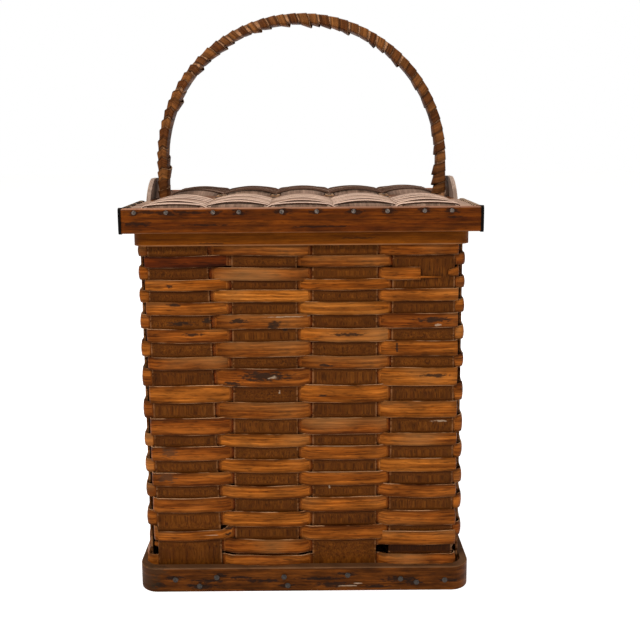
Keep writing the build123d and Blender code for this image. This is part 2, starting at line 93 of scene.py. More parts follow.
def add(tree, kind, inputs=None, **settings):
    """A shader node with settings, its inputs set to values or linked to sockets."""
    node = tree.nodes.new("ShaderNode" + kind)
    for key, value in settings.items():
        setattr(node, key, value)
    for key, value in (inputs or {}).items():
        if isinstance(value, bpy.types.NodeSocket):
            tree.links.new(value, node.inputs[key])
        else:
            node.inputs[key].default_value = value
    return node


def math_node(tree, operation, a, b=0.0, clamp=False):
    node = add(tree, "Math", {0: a, 1: b}, operation=operation, use_clamp=clamp)
    return node.outputs[0]


def times(tree, a, b):
    return math_node(tree, "MULTIPLY", a, b)


def vector_math(tree, operation, a, b=(0, 0, 0)):
    return add(tree, "VectorMath", {0: a, 1: b}, operation=operation).outputs


def mixed(tree, kind, factor, a, b):
    """Two colours mixed: plain mix or multiply."""
    sockets = {0: factor, 6: a, 7: b}
    return add(tree, "Mix", sockets, data_type="RGBA", blend_type=kind).outputs[2]


def covered(tree, colour, mask, shade):
    """A colour with another one laid over it where the mask is 1."""
    return mixed(tree, "MIX", mask, colour, (*shade, 1))


def shaded(tree, colour, value):
    """A colour multiplied by a number."""
    grey = add(tree, "CombineColor", {0: value, 1: value, 2: value}).outputs[0]
    return mixed(tree, "MULTIPLY", 1.0, colour, grey)


def rays(tree, *kinds):
    """1 for rays of any of these kinds."""
    path = add(tree, "LightPath")
    found = path.outputs[kinds[0]]
    for kind in kinds[1:]:
        found = math_node(tree, "MAXIMUM", found, path.outputs[kind])
    return found


# %% Paper and world
# How bright the paper is, and the glow that clear rays such as the camera's see added to it
LIT, GLOW = 0.82, 0.76
paper, tree = new_material("paper")
diffuse = add(tree, "BsdfDiffuse", {"Color": (LIT, LIT, LIT, 1)})
glow = add(tree, "Emission", {"Color": (1, 1, 1, 1), "Strength": GLOW})
both = add(tree, "AddShader", {0: diffuse.outputs[0], 1: glow.outputs[0]})
clear = rays(tree, "Is Camera Ray", "Is Glossy Ray", "Is Transmission Ray")
mix = add(tree, "MixShader", {0: clear, 1: diffuse.outputs[0], 2: both.outputs[0]})
add(tree, "OutputMaterial", {0: mix.outputs[0]})

bpy.ops.object.select_all(action="DESELECT")
bpy.ops.mesh.primitive_plane_add(size=8, location=(0, 2.0, -0.0004))
floor = bpy.context.object
floor.name = "floor"
floor.data.materials.append(paper)

world = bpy.data.worlds.new("studio")
bpy.context.scene.world = world
world.use_nodes = True
tree = world.node_tree
tree.nodes.clear()
ambient = add(tree, "Background", {"Color": (1, 0.985, 0.96, 1), "Strength": 0.29})
white = add(tree, "Background", {"Color": (1, 1, 1, 1), "Strength": 1.0})
seen = rays(tree, "Is Camera Ray", "Is Transmission Ray")
mix = add(tree, "MixShader", {0: seen, 1: ambient.outputs[0], 2: white.outputs[0]})
add(tree, "OutputWorld", {0: mix.outputs[0]})


# %% Lamps
def soft_lamp(name, place, target, size, power, colour=(1, 1, 1)):
    lamp = bpy.data.lights.new(name, "AREA")
    lamp.shape = "DISK"
    lamp.size = size
    lamp.energy = power
    lamp.color = colour
    holder = bpy.data.objects.new(name, lamp)
    bpy.context.collection.objects.link(holder)
    holder.location = place
    aim = Vector(target) - Vector(place)
    holder.rotation_euler = aim.to_track_quat("-Z", "Y").to_euler()


middle = (0, 0, 0.2)
soft_lamp("key", (-0.6, -1.1, 1.35), middle, 0.4, 20, (1, 0.985, 0.96))
soft_lamp("fill", (1.1, -1.3, 0.6), middle, 0.9, 4)
soft_lamp("top", (0.2, 0.5, 1.6), middle, 0.7, 12)
bpy.context.scene.view_settings.view_transform = "Standard"
print("studio ready")

# %% [markdown]
# ## Wood grain
# Every board and splint here is ash or oak under old varnish. Splint splits along the grain, so
# its lines run true from end to end: fine pores, broader bands of early and late wood, and slow
# changes of colour. One node group draws them all from a coordinate whose X runs along the grain,
# and each material sets its own colours and strengths.

# %% The grain group
def new_group(name, vectors, floats, outputs):
    """A node group with float outputs, and its input and output nodes."""
    group = bpy.data.node_groups.new(name, "ShaderNodeTree")
    sockets = [(label, "INPUT", "Vector") for label in vectors]
    sockets += [(label, "INPUT", "Float") for label in floats]
    sockets += [(label, "OUTPUT", "Float") for label in outputs]
    for label, way, kind in sockets:
        group.interface.new_socket(label, in_out=way, socket_type="NodeSocket" + kind)
    return group, group.nodes.new("NodeGroupInput"), group.nodes.new("NodeGroupOutput")


def streaks(tree, vector, along, across, detail, seed, distortion=0.0):
    """Noise drawn out along X: `along` and `across` are features to the metre."""
    scaled = vector_math(tree, "MULTIPLY", vector, (along, across, across))[0]
    inputs = {"Vector": scaled, "W": seed, "Scale": 1.0, "Detail": detail, "Roughness": 0.6}
    inputs["Distortion"] = distortion
    return add(tree, "TexNoise", inputs, noise_dimensions="4D").outputs[0]


# Features to the metre along and across the grain, detail, seed and distortion
PATTERNS = {
    "Fibres": (50, 1400, 2, 0.0, 0.0),
    "Pores": (110, 950, 3, 5.0, 0.0),
    "Bands": (14, 520, 3, 9.0, 0.5),
    "Blotches": (45, 170, 3, 13.0, 0.0),
    "Drift": (16, 40, 1, 17.0, 0.0),
}
grain_group, g_in, g_out = new_group(
    "wood_grain", ["Grain Vector"], ["Seed"], [*PATTERNS, "Height"],
)
tree = grain_group
drawn = {}
vector = g_in.outputs["Grain Vector"]
for label, (along, across, detail, apart, distortion) in PATTERNS.items():
    seed = math_node(tree, "ADD", g_in.outputs["Seed"], apart)
    drawn[label] = streaks(tree, vector, along, across, detail, seed, distortion)
drawn["Height"] = times(tree, math_node(tree, "ADD", drawn["Fibres"], drawn["Bands"]), 0.5)
for label, value in drawn.items():
    tree.links.new(value, g_out.inputs[label])
print("grain group:", len(tree.nodes), "nodes")

# %% [markdown]
# ## Where the grain runs
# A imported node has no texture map, but its place is in its vertices, so Object coordinates are
# true places on the basket. On a level band the way along is X on the long walls and Y on the
# short ones, and X + Y serves both. On an upright splint the grain runs along Z. A splint that we
# weave ourselves carries its own map, laid along its length.

# %% Grain vectors
def object_place(tree):
    return add(tree, "TexCoord").outputs["Object"]


def components(tree, vector):
    return add(tree, "SeparateXYZ", {0: vector}).outputs


def grain_vector(tree, lay):
    """Vector with X along the grain, for the way that a piece lies."""
    if lay == "strip":
        return add(tree, "UVMap", uv_map="lengthwise").outputs[0]
    x, y, z = components(tree, object_place(tree))
    level = math_node(tree, "ADD", x, y)
    turned = math_node(tree, "SUBTRACT", x, y)
    ways = {
        "level": (level, z, 0.0),
        "upright": (z, level, turned),
        "crosswise": (x, y, z),
        "front_to_back": (y, x, z),
    }
    return add(tree, "CombineXYZ", dict(enumerate(ways[lay]))).outputs[0]


def smooth_range(tree, value, low, high, bottom=0.0, top=1.0):
    inputs = {"Value": value, "From Min": low, "From Max": high, "To Min": bottom, "To Max": top}
    return add(tree, "MapRange", inputs, interpolation_type="SMOOTHSTEP").outputs[0]


# %% Stains
def ramp(tree, value, stops):
    """A colour ramp through stops of (place, colour)."""
    node = add(tree, "ValToRGB", {"Fac": value})
    elements = node.color_ramp.elements
    while len(elements) < len(stops):
        elements.new(0.5)
    for element, (place, colour) in zip(elements, stops):
        element.position = place
        element.color = (*colour, 1)
    return node.outputs["Color"]


MM = 0.001
STAIN_DEPTH = 12.0
SOFT_EDGE = 0.25
stain_group, g_in, g_out = new_group(
    "stain", ["Place", "Centre", "Radii"], ["Before"], ["Mask"],
)
tree = stain_group
place = g_in.outputs["Place"]
away = vector_math(tree, "SUBTRACT", place, g_in.outputs["Centre"])[0]
away = vector_math(tree, "DIVIDE", away, g_in.outputs["Radii"])[0]
away = vector_math(tree, "LENGTH", away)["Value"]
ragged = smooth_range(tree, streaks(tree, place, 260, 900, 3, 2.0), 0.3, 0.7, -0.55, 0.55)
spot = smooth_range(tree, math_node(tree, "ADD", away, ragged), 0.55, 1.15, 1.0, 0.0)
tree.links.new(math_node(tree, "MAXIMUM", spot, g_in.outputs["Before"]), g_out.inputs["Mask"])


def stained(tree, colour, stains, shade, strength=1.0):
    """Colour with spots: each of `stains` is x, y, z and two radii in mm, across and up."""
    inputs = {"Place": object_place(tree)}
    mask = 0.0
    for x, y, z, across, up in stains:
        inputs["Centre"] = (x * MM, y * MM, z * MM)
        inputs["Radii"] = (across * MM, STAIN_DEPTH * MM, up * MM)
        inputs["Before"] = mask
        mask = add(tree, "Group", inputs, node_tree=stain_group).outputs["Mask"]
    return covered(tree, colour, times(tree, mask, strength), shade)


def banded(tree, colour, pattern, low, high, shade):
    """Colour tinted between two heights in mm, where one of the grain's patterns is bright."""
    z = components(tree, object_place(tree))[2]
    above = smooth_range(tree, z, (low - SOFT_EDGE) * MM, (low + SOFT_EDGE) * MM)
    below = smooth_range(tree, z, (high - SOFT_EDGE) * MM, (high + SOFT_EDGE) * MM, 1.0, 0.0)
    return covered(tree, colour, times(tree, times(tree, above, below), pattern), shade)


def facing_up(tree, low=0.5, high=0.9):
    """1 where the surface faces up, 0 on its sides."""
    facing = add(tree, "TexCoord").outputs["Normal"]
    return smooth_range(tree, components(tree, facing)[2], low, high)


# %% Varnished wood
GLOSS, DENT, SEEDS_PER_TONE = 0.06, 0.0003, 37.0


def varnished(name, lay, dark, light, tints=None, banding=(0.3, 0.72), pore=0.25, fibre=0.2,
              blotch=0.2, drifting=0.7, roughness=0.5, edge_wear_and_highlight=None, edge_dirt_and_shade=0.0, marks=None):
    """Wood under old varnish, from dark to light in its bands. `marks` adds marks of its own."""
    made, tree = new_material(name)
    grain = add(tree, "Group", node_tree=grain_group)
    tree.links.new(grain_vector(tree, lay), grain.inputs["Grain Vector"])
    bands = smooth_range(tree, grain.outputs["Bands"], *banding)
    colour = covered(tree, (*dark, 1), bands, light)
    if tints:
        tone = add(tree, "Attribute", attribute_name="tone").outputs["Fac"]
        tree.links.new(times(tree, tone, SEEDS_PER_TONE), grain.inputs["Seed"])
        centred = math_node(tree, "SUBTRACT", grain.outputs["Drift"], 0.5)
        wander = times(tree, centred, drifting)
        tint = ramp(tree, math_node(tree, "ADD", tone, wander, clamp=True), tints)
        colour = mixed(tree, "MULTIPLY", 1.0, colour, tint)
    shades = (
        ("Blotches", 0.3, 0.7, 1 - blotch, 1 + blotch),
        ("Pores", 0.34, 0.5, 1 - pore, 1.0),
        ("Fibres", 0.5, 0.72, 1.0, 1 + fibre * 2),
        ("Fibres", 0.25, 0.45, 1 - fibre, 1.0),
    )
    for label, *limits in shades:
        colour = shaded(tree, colour, smooth_range(tree, grain.outputs[label], *limits))
    if edge_wear_and_highlight or edge_dirt_and_shade:
        edge = add(tree, "Attribute", attribute_name="edge").outputs["Fac"]
    # Painted shade with dirt: darker along the edges of a strip, where it meets its neighbours
    if edge_dirt_and_shade:
        colour = shaded(tree, colour, smooth_range(tree, edge, 0.45, 0.95, 1.0, 1 - edge_dirt_and_shade))
    # Painted highlight with wear: paler along the very edge of a strip, in patches
    if edge_wear_and_highlight:
        patchy = smooth_range(tree, grain.outputs["Blotches"], 0.42, 0.6)
        worn_and_lit_edge = times(tree, smooth_range(tree, edge, 0.93, 1.0), patchy)
        colour = covered(tree, colour, times(tree, worn_and_lit_edge, 0.8), edge_wear_and_highlight)
    if marks:
        colour = marks(tree, colour, grain)
    dull, bright = roughness + 0.12, roughness - 0.08
    sheen = smooth_range(tree, grain.outputs["Blotches"], 0.3, 0.7, dull, bright)
    relief = {"Strength": 0.6, "Distance": DENT, "Height": grain.outputs["Height"]}
    inputs = {"Base Color": colour, "Roughness": sheen, "Specular IOR Level": GLOSS}
    inputs["Normal"] = add(tree, "Bump", relief).outputs[0]
    shader = add(tree, "BsdfPrincipled", inputs)
    add(tree, "OutputMaterial", {0: shader.outputs[0]})
    return made


# Outsides of the front's wall, base hoop, rim and lid rail
WALL_Y, HOOP_Y, RIM_Y, RAIL_Y = -80.5, -85.2, -82, -88.5


def marks_at(y, marks):
    """Stains in one plane: each of `marks` is x, z and two radii."""
    return [(x, y, z, across, up) for x, z, across, up in marks]


wall_stains = marks_at(WALL_Y, (
    (-42.8, 189.8, 5.6, 1.9), (-18.9, 187.2, 4.4, 3.0), (-82.2, 188.4, 9, 1.5),
    (-64.1, 190.3, 3.6, 1.9), (-73.2, 181.1, 7.5, 1.1), (-85.6, 201.6, 5, 1.1),
    (-88.3, 214.2, 3.2, 1.2), (-24.4, 152.0, 17, 3.6), (-47.0, 147.0, 5.2, 2.0),
    (-11.4, 183.6, 2.2, 1.4), (87.5, 190.1, 12, 1.7), (30.7, 180.6, 9.5, 1.2),
    (15.9, 159.4, 5, 0.9), (90.0, 151.8, 10, 1.3), (-51.5, 43.0, 3.6, 1.2),
    (-52.5, 38.6, 3.0, 0.9), (63.6, 171.1, 0.9, 3.2), (13.1, 138.2, 3.4, 1.0),
))
wall_flecks = marks_at(WALL_Y, (
    (90.9, 186.7, 2.2, 0.9), (93.1, 119.2, 5.5, 0.6), (17.8, 72.4, 0.6, 1.2),
    (-15.7, 140.3, 0.6, 1.3), (-10.0, 192.9, 13, 0.35), (-20.0, 151.0, 3, 1.2),
    (-64.0, 38.6, 8, 0.3),
))
wall_mould = marks_at(WALL_Y, ((-91.6, 98.7, 6, 3.4), (-93.5, 80.8, 7, 3.4)))


def wall_marks(tree, colour, grain):
    colour = stained(tree, colour, wall_mould, (0.05, 0.028, 0.015), 0.6)
    colour = stained(tree, colour, wall_stains, (0.022, 0.011, 0.006), 0.9)
    return stained(tree, colour, wall_flecks, (0.42, 0.3, 0.2), 0.7)


def weaver_marks(tree, colour, grain):
    """Dust that dulls the varnish in places, and the marks of the wall."""
    drifted = smooth_range(tree, grain.outputs["Drift"], 0.5, 0.75)
    dusty = times(tree, drifted, grain.outputs["Fibres"])
    return wall_marks(tree, covered(tree, colour, dusty, (0.3, 0.132, 0.042)), grain)


splint_tints = [
    (0.0, (0.3, 0.18, 0.08)), (0.12, (0.46, 0.29, 0.14)), (0.3, (0.74, 0.62, 0.46)),
    (0.5, (0.98, 0.92, 0.8)), (0.75, (1.3, 1.3, 1.15)), (1.0, (1.6, 1.75, 1.8)),
]
stake_tints = [
    (0.0, (0.2, 0.16, 0.1)), (0.35, (0.75, 0.7, 0.62)), (0.65, (1.0, 1.0, 1.0)),
    (1.0, (1.3, 1.3, 1.25)),
]
stake_wood = varnished(
    "stake_splint", "strip", (0.075, 0.0188, 0.0014), (0.126, 0.037, 0.0034), tints=stake_tints,
    pore=0.5, blotch=0.12, drifting=0.3, edge_dirt_and_shade=0.2, edge_wear_and_highlight=(0.3, 0.13, 0.05), marks=wall_marks,
)
weaver_wood = varnished(
    "weaver_splint", "strip", (0.147, 0.0352, 0.0022), (0.297, 0.0875, 0.0112),
    tints=splint_tints, banding=(0.36, 0.64), pore=0.5, fibre=0.3, blotch=0.3,
    edge_wear_and_highlight=(0.55, 0.3, 0.15), edge_dirt_and_shade=0.5, marks=weaver_marks,
)
base_weaver_wood = varnished(
    "base_weaver_splint", "level", (0.1, 0.03, 0.006), (0.17, 0.055, 0.012),
)
board_wood = varnished("board", "crosswise", (0.1, 0.035, 0.013), (0.17, 0.065, 0.028))


def rim_marks(tree, colour, grain):
    # Painted highlight: a pale line along the rim's lower edge
    colour = banded(tree, colour, grain.outputs["Blotches"], 241.0, 242.2, (0.3, 0.14, 0.06))
    streaked = marks_at(RIM_Y, ((-60, 243, 9, 0.8), (38, 246, 14, 0.8)))
    return stained(tree, colour, streaked, (0.03, 0.012, 0.004), 0.6)


def hoop_marks(tree, colour, grain):
    colour = banded(tree, colour, grain.outputs["Blotches"], 16.4, 18.0, (0.24, 0.12, 0.055))
    colour = covered(tree, colour, times(tree, facing_up(tree), 0.6), (0.045, 0.018, 0.007))
    streaked = marks_at(HOOP_Y, (
        (-89.8, 10.2, 7, 1.5), (-58.4, 11.7, 6, 1.65), (-66, 7.7, 12, 1.5), (-70, 3.8, 12, 1.8),
        (-44, 10.0, 9, 1.2), (-28, 7.6, 12, 1.2), (-13, 3.8, 6, 1.5), (28.8, 12.1, 7, 1.35),
        (12, 9.0, 15, 1.2), (65, 8.1, 13, 1.95), (75.6, 5.8, 7, 2.1), (100, 7.0, 6, 1.2),
        (20, 4.5, 14, 2.1), (-100, 5, 5, 1.35), (50, 3.0, 9, 1.2),
    ))
    colour = stained(tree, colour, streaked, (0.012, 0.006, 0.004), 0.85)
    mouldy = marks_at(HOOP_Y, ((-108, 9, 8, 10), (-104, 15, 9, 3)))
    colour = stained(tree, colour, mouldy, (0.028, 0.019, 0.01), 0.55)
    scratched = marks_at(HOOP_Y, ((30, 3.4, 6, 0.45), (37.5, 5.1, 5, 0.45)))
    return stained(tree, colour, scratched, (0.42, 0.28, 0.18), 0.8)


def rail_marks(tree, colour, grain):
    # Painted highlight: a pale pink line along the rail's top edge
    colour = banded(tree, colour, grain.outputs["Bands"], 266.2, 268.0, (0.5, 0.25, 0.15))
    colour = banded(tree, colour, grain.outputs["Blotches"], 250.0, 251.2, (0.26, 0.1, 0.035))
    tacks = (-108.0, -87.3, -57.0, -40.2, -12.4, 10.2, 34.1, 56.0, 80.1, 97.7)
    streaked = [(x, 264.2, 6 + 2 * math.sin(x), 1.9) for x in tacks]
    streaked += [(-98, 264.4, 14, 1.1), (-74, 264.2, 14, 1.1), (-106, 257, 9, 1.6)]
    streaked += [(-60, 256, 16, 0.7), (15, 254.5, 20, 0.6), (100, 260, 6, 0.8)]
    return stained(tree, colour, marks_at(RAIL_Y, streaked), (0.016, 0.006, 0.003), 0.85)


rim_wood = varnished(
    "rim_band", "level", (0.12, 0.028, 0.0005), (0.19, 0.049, 0.001), marks=rim_marks,
)
hoop_wood = varnished(
    "base_hoop_band", "level", (0.057, 0.0145, 0.001), (0.135, 0.037, 0.004),
    pore=0.4, blotch=0.45, marks=hoop_marks,
)
rail_wood = varnished(
    "lid_rail", "crosswise", (0.066, 0.0125, 0.0006), (0.145, 0.034, 0.002),
    pore=0.4, blotch=0.35, marks=rail_marks,
)
side_rail_wood = varnished(
    "lid_side_rail", "front_to_back", (0.09, 0.022, 0.004), (0.16, 0.045, 0.01),
)
ear_wood = varnished("ear_plate", "upright", (0.3, 0.205, 0.155), (0.47, 0.335, 0.26))
bow_wood = varnished("bow", "upright", (0.3, 0.14, 0.065), (0.48, 0.25, 0.14))
bow_lining_wood = varnished(
    "bow_lining", "strip", (0.3, 0.13, 0.055), (0.5, 0.25, 0.12), edge_dirt_and_shade=0.3,
)
wrap_tints = [(0.0, (0.7, 0.6, 0.5)), (0.5, (1.0, 1.0, 1.0)), (1.0, (1.5, 1.6, 1.6))]
wrap_wood = varnished(
    "handle_splint", "strip", (0.085, 0.026, 0.006), (0.205, 0.072, 0.018),
    tints=wrap_tints, pore=0.4, edge_dirt_and_shade=0.5, edge_wear_and_highlight=(0.5, 0.3, 0.17),
)
lid_tints = [(0.0, (0.75, 0.68, 0.62)), (0.5, (0.95, 0.95, 0.95)), (1.0, (1.2, 1.2, 1.15))]


def lid_wear_and_painted_light(tree, colour, grain):
    """Wear and painted light on a lid splint: a pale edge, a dark line behind it, dark sides."""
    across = components(tree, grain_vector(tree, "strip"))[1]
    # Pale along the edge towards the board: wear, and a painted highlight
    worn_and_lit_front = smooth_range(tree, across, 0.0011, 0.0018, 0.0, 0.75)
    colour = covered(tree, colour, worn_and_lit_front, (0.82, 0.58, 0.46))
    # A dark line along the edge behind: painted shade
    shade_behind = smooth_range(tree, across, -0.0019, -0.0006, 0.9, 0.0)
    colour = covered(tree, colour, shade_behind, (0.06, 0.03, 0.02))
    # The sides and front faces, away from the top: painted shade
    return mixed(tree, "MIX", facing_up(tree, 0.1, 0.45), (0.1, 0.05, 0.031, 1), colour)


lid_wood = varnished(
    "lid_splint", "strip", (0.34, 0.21, 0.15), (0.55, 0.37, 0.27),
    tints=lid_tints, roughness=0.6, marks=lid_wear_and_painted_light,
)
lid_stake_wood = varnished(
    "lid_stake", "strip", (0.17, 0.1, 0.068), (0.27, 0.17, 0.12),
    tints=lid_tints, roughness=0.6, edge_dirt_and_shade=0.4,
)
lashing_tints = [(0.0, (0.04, 0.035, 0.035)), (0.4, (0.4, 0.36, 0.33)), (1.0, (1.1, 1.1, 1.1))]


def lashing_underside_shade(tree, colour, grain):
    # Painted shade: all but the upward faces made near black
    shaded_underside = mixed(tree, "MULTIPLY", 1.0, colour, (0.07, 0.06, 0.06, 1))
    return mixed(tree, "MIX", facing_up(tree, 0.3, 0.6), shaded_underside, colour)


lashing_wood = varnished(
    "lashing_splint", "strip", (0.42, 0.26, 0.16), (0.62, 0.42, 0.28),
    tints=lashing_tints, edge_dirt_and_shade=0.5, marks=lashing_underside_shade,
)
strap_wood = varnished("strap_splint", "front_to_back", (0.2, 0.1, 0.05), (0.34, 0.2, 0.11))


def tack_iron(name, dark, light):
    made, tree = new_material(name)
    spots = {"Vector": object_place(tree), "Scale": 900.0, "Detail": 3.0}
    rust = add(tree, "TexNoise", spots).outputs[0]
    colour = covered(tree, (*dark, 1), smooth_range(tree, rust, 0.35, 0.7), light)
    rough = smooth_range(tree, rust, 0.3, 0.7, 0.35, 0.65)
    inputs = {"Base Color": colour, "Roughness": rough, "Metallic": 0.4}
    shader = add(tree, "BsdfPrincipled", inputs)
    add(tree, "OutputMaterial", {0: shader.outputs[0]})
    return made


iron = tack_iron("tack_iron", (0.014, 0.01, 0.008), (0.06, 0.042, 0.03))
# Greyer iron for the lid's tacks: a painted reflection, for the light on their domed heads
glinting_iron = tack_iron("glinting_tack_iron", (0.03, 0.022, 0.018), (0.2, 0.15, 0.12))

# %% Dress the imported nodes
# Woods by the end of a node's name
PACKED_WOODS = {
    "base_board": board_wood, "centre_board": board_wood, "base_courses": base_weaver_wood,
    "base_hoop": hoop_wood, "outer_rim": rim_wood, "inner_rim": rim_wood, "_ear": ear_wood,
    "handle_hoop": bow_wood, "hinge_rod": bow_wood, "hinge_straps": strap_wood,
    "lid_rail": rail_wood, "side_rails": side_rail_wood, "battens": side_rail_wood,
}


def dress(name, material):
    """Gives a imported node's object one material."""
    nodes[name].data.materials.clear()
    nodes[name].data.materials.append(material)


for name in nodes:
    if name.endswith("tacks"):
        dress(name, glinting_iron if "lid" in name else iron)
    for ending, wood in PACKED_WOODS.items():
        if name.endswith(ending):
            dress(name, wood)

# %% [markdown]
# ## Splint, the one thing it is all made of
# A splint is a thin flat strip split from an ash log. Real weavers soak it and bend it, so its
# cross section never changes while its path does. We do the same: a grid is one strip lying flat,
# its rows of vertices are carried onto a path, and Solidify and Bevel give it thickness and
# eased edges. The strip keeps a map in metres along its length, so the grain follows every bend.

# %% A strip on a path
UP, FLAT = Vector((0, 0, 1)), Vector((0, 0, 0))


def splint(name, path, across, thickness, easing=0.16):
    """A strip. `path` holds stations: centre, half width, lift of the middle and tone, in mm."""
    bpy.ops.object.select_all(action="DESELECT")
    steps = len(path) - 1
    bpy.ops.mesh.primitive_grid_add(x_subdivisions=steps, y_subdivisions=across, size=2)
    strip = bpy.context.object
    strip.name = name
    mesh = strip.data
    lengths = [0.0]
    for before, after in zip(path, path[1:]):
        lengths.append(lengths[-1] + (after[0] - before[0]).length)
    tone = mesh.attributes.new("tone", "FLOAT", "POINT")
    edge = mesh.attributes.new("edge", "FLOAT", "POINT")
    flat = []
    for vertex in mesh.vertices:
        station = round((vertex.co.x + 1) / 2 * steps)
        side = vertex.co.y
        flat.append((station, side))
        centre, half, lift, shade = path[station]
        tone.data[vertex.index].value = shade
        edge.data[vertex.index].value = abs(side)
        vertex.co = (centre + half * side + lift * (1 - side * side)) * MM
    along = mesh.uv_layers[0]
    along.name = "lengthwise"
    for loop in mesh.loops:
        station, side = flat[loop.vertex_index]
        reach = path[station][1].length * side
        along.data[loop.index].uv = (lengths[station] * MM, reach * MM)
    thicken = strip.modifiers.new("thickness", "SOLIDIFY")
    thicken.thickness = thickness * MM
    thicken.offset = 0
    if easing:
        ease = strip.modifiers.new("eased edges", "BEVEL")
        ease.width = easing * MM
        ease.segments = 1
        ease.limit_method = "ANGLE"
        ease.angle_limit = math.radians(50)
    for modifier in list(strip.modifiers):
        bpy.ops.object.modifier_apply(modifier=modifier.name)
    bpy.ops.object.shade_smooth_by_angle(angle=math.radians(40))
    return strip


def eased(part):
    """0 to 1 with a slow start and end."""
    return part * part * (3 - 2 * part)


def eased_step(value, start, end):
    return eased(min(max((value - start) / (end - start), 0.0), 1.0))


def gather(name, strips, material):
    """Several strips as one piece of one material."""
    bpy.ops.object.select_all(action="DESELECT")
    for strip in strips:
        strip.select_set(True)
    bpy.context.view_layer.objects.active = strips[0]
    if len(strips) > 1:
        bpy.ops.object.join()
    piece = bpy.context.view_layer.objects.active
    piece.name = name
    piece.data.materials.clear()
    piece.data.materials.append(material)
    return piece


# %% [markdown]
# ## The line of the walls
# Everything woven follows one line round the basket: a rectangle with tight corners, midway
# between the outside and the inside of the weave. A place on it is the distance walked round from
# the front left corner, which turns over and under into a function of one number.

# %% Walking round the basket
HALF_X, HALF_Y, CORNER = 107.5, 78.0, 5.8
TURN = CORNER * math.pi / 2
LONG, SHORT = 2 * (HALF_X - CORNER), 2 * (HALF_Y - CORNER)
AROUND = 2 * (LONG + SHORT + 2 * TURN)
WALL_STARTS = (0.0, LONG + TURN, LONG + SHORT + 2 * TURN, 2 * LONG + SHORT + 3 * TURN)


def wall_line(walked, out, height):
    """Place and outward direction on the wall, `out` off its middle line."""
    walked %= AROUND
    for number in range(4):
        length, reach = ((LONG, HALF_Y), (SHORT, HALF_X))[number % 2]
        angle = number * math.pi / 2
        along = Vector((math.cos(angle), math.sin(angle), 0))
        outward = Vector((along.y, -along.x, 0))
        if walked <= length:
            place = outward * (reach + out) + along * (walked - length / 2)
            break
        walked -= length
        if walked <= TURN:
            bend = walked / CORNER
            turned = outward * math.cos(bend) + along * math.sin(bend)
            place = outward * (reach - CORNER) + along * length / 2 + turned * (CORNER + out)
            outward = turned
            break
        walked -= TURN
    return place + UP * height, outward


print("once round the basket:", round(AROUND), "mm")

# %% Where the stakes stand
# Left and right edges at the foot and at the top of each stake, from the middle of its wall
STAKE_FOOT, STAKE_TOP = 15.0, 241.0
front_stakes = [
    ((-101.5, -57.2), (-102.2, -62.6)),
    ((-47.8, -3.8), (-46.6, -3.1)),
    ((5.8, 49.9), (7.2, 50.7)),
    ((58.7, 102.8), (60.8, 102.0)),
]
lean = random.Random(11)
stakes = []
for wall in range(4):
    places = ((-79.95, -26.65, 26.65, 79.95), (-51.2, 0.0, 51.2))[wall % 2]
    half_stake = (21.7, 20.9)[wall % 2]
    for number, place in enumerate(places):
        left, right = place - half_stake, place + half_stake
        foot, top = (
            (left + lean.uniform(-0.5, 0.9), right + lean.uniform(-0.9, 0.5)) for _ in range(2)
        )
        if wall == 0:
            foot, top = front_stakes[number]
        middle = WALL_STARTS[wall] + (LONG, SHORT)[wall % 2] / 2
        stakes.append(tuple((middle + low, middle + high) for low, high in (foot, top)))


def stake_edges(number, height):
    """Where a stake starts and ends along the wall, at a height."""
    foot, top = stakes[number % len(stakes)]
    part = (height - STAKE_FOOT) / (STAKE_TOP - STAKE_FOOT)
    return tuple(a + (b - a) * part for a, b in zip(foot, top))


print("stakes:", len(stakes))

# %% [markdown]
# ## Wall weavers
# Each course goes once round, over one stake and under the next, and laps its own start behind a
# stake. Neighbours take the opposite turn, which is why the count of stakes must be even. Real
# courses are hand packed: they wander up and down together, tilt a little, and belly out where
# they cross a stake. A slow noise over the wall moves neighbours as one, so few gaps open.

# %% Heights of the courses
course_widths = [7.0, 7.1, 8.2, 7.1, 7.8, 8.3, 9.3, 8.7, 9.8, 8.2, 11.8, 10.9]
course_widths += [11.0, 11.1, 8.4, 9.3, 8.7, 9.0, 8.6, 9.9, 10.2, 9.6, 10.2]
COURSE_GAP = 0.3
# Bottom and top of each course. Course 24 is missing, and those beside it are given one by one.
heights = {}
upper = 241.4
for course, course_width in enumerate(course_widths, start=1):
    heights[course] = (upper - course_width, upper)
    upper -= course_width + COURSE_GAP
heights[23] = (25.3, 34.8)
heights[25] = (14.0, 22.7)
WEAVE, CROWN, SIDE_CROWN = 1.4, 0.9, 1.7
FRONT_AND_BACK = (0, 1, 2, 3, 7, 8, 9, 10)
# Stakes before a corner: 1 where the walk leaves a long wall, -1 where it leaves a short one
CORNER_GAPS = {3: 1, 6: -1, 10: 1, 13: -1}
# The first (1) and the last (-1) stake of each short wall
SHORT_WALL_ENDS = {4: 1, 6: -1, 11: 1, 13: -1}

# %% [markdown]
# ## Stakes
# The uprights are wide, flat and darker than the weavers. The shade that the weavers cast on them
# is painted into their colour. A real one is a little cupped and never quite plumb, so each is its
# own strip between the two leaning edges.

# %% Weave the stakes
# Stations up a stake, and how far the painted shade reaches below and above a weaver, in mm
STAKE_STEPS, SHADE_BELOW, SHADE_ABOVE = 170, 2.6, 1.2


def weaver_shade_on_stake(number, height):
    """Painted shade on a stake: most just below a weaver that crosses over it, some just above."""
    most = 0.0
    for course, (low, high) in heights.items():
        broken_away = (course, number) == (3, 3)
        if (number + course) % 2 or broken_away:
            continue
        if (course, number) == (22, 0):
            high -= 3.2
        if height < low:
            most = max(most, 1 - (low - height) / SHADE_BELOW)
        elif height > high:
            most = max(most, 0.8 * (1 - (height - high) / SHADE_ABOVE))
        else:
            most = 1.0
    return 0.85 * min(most, 1.0)


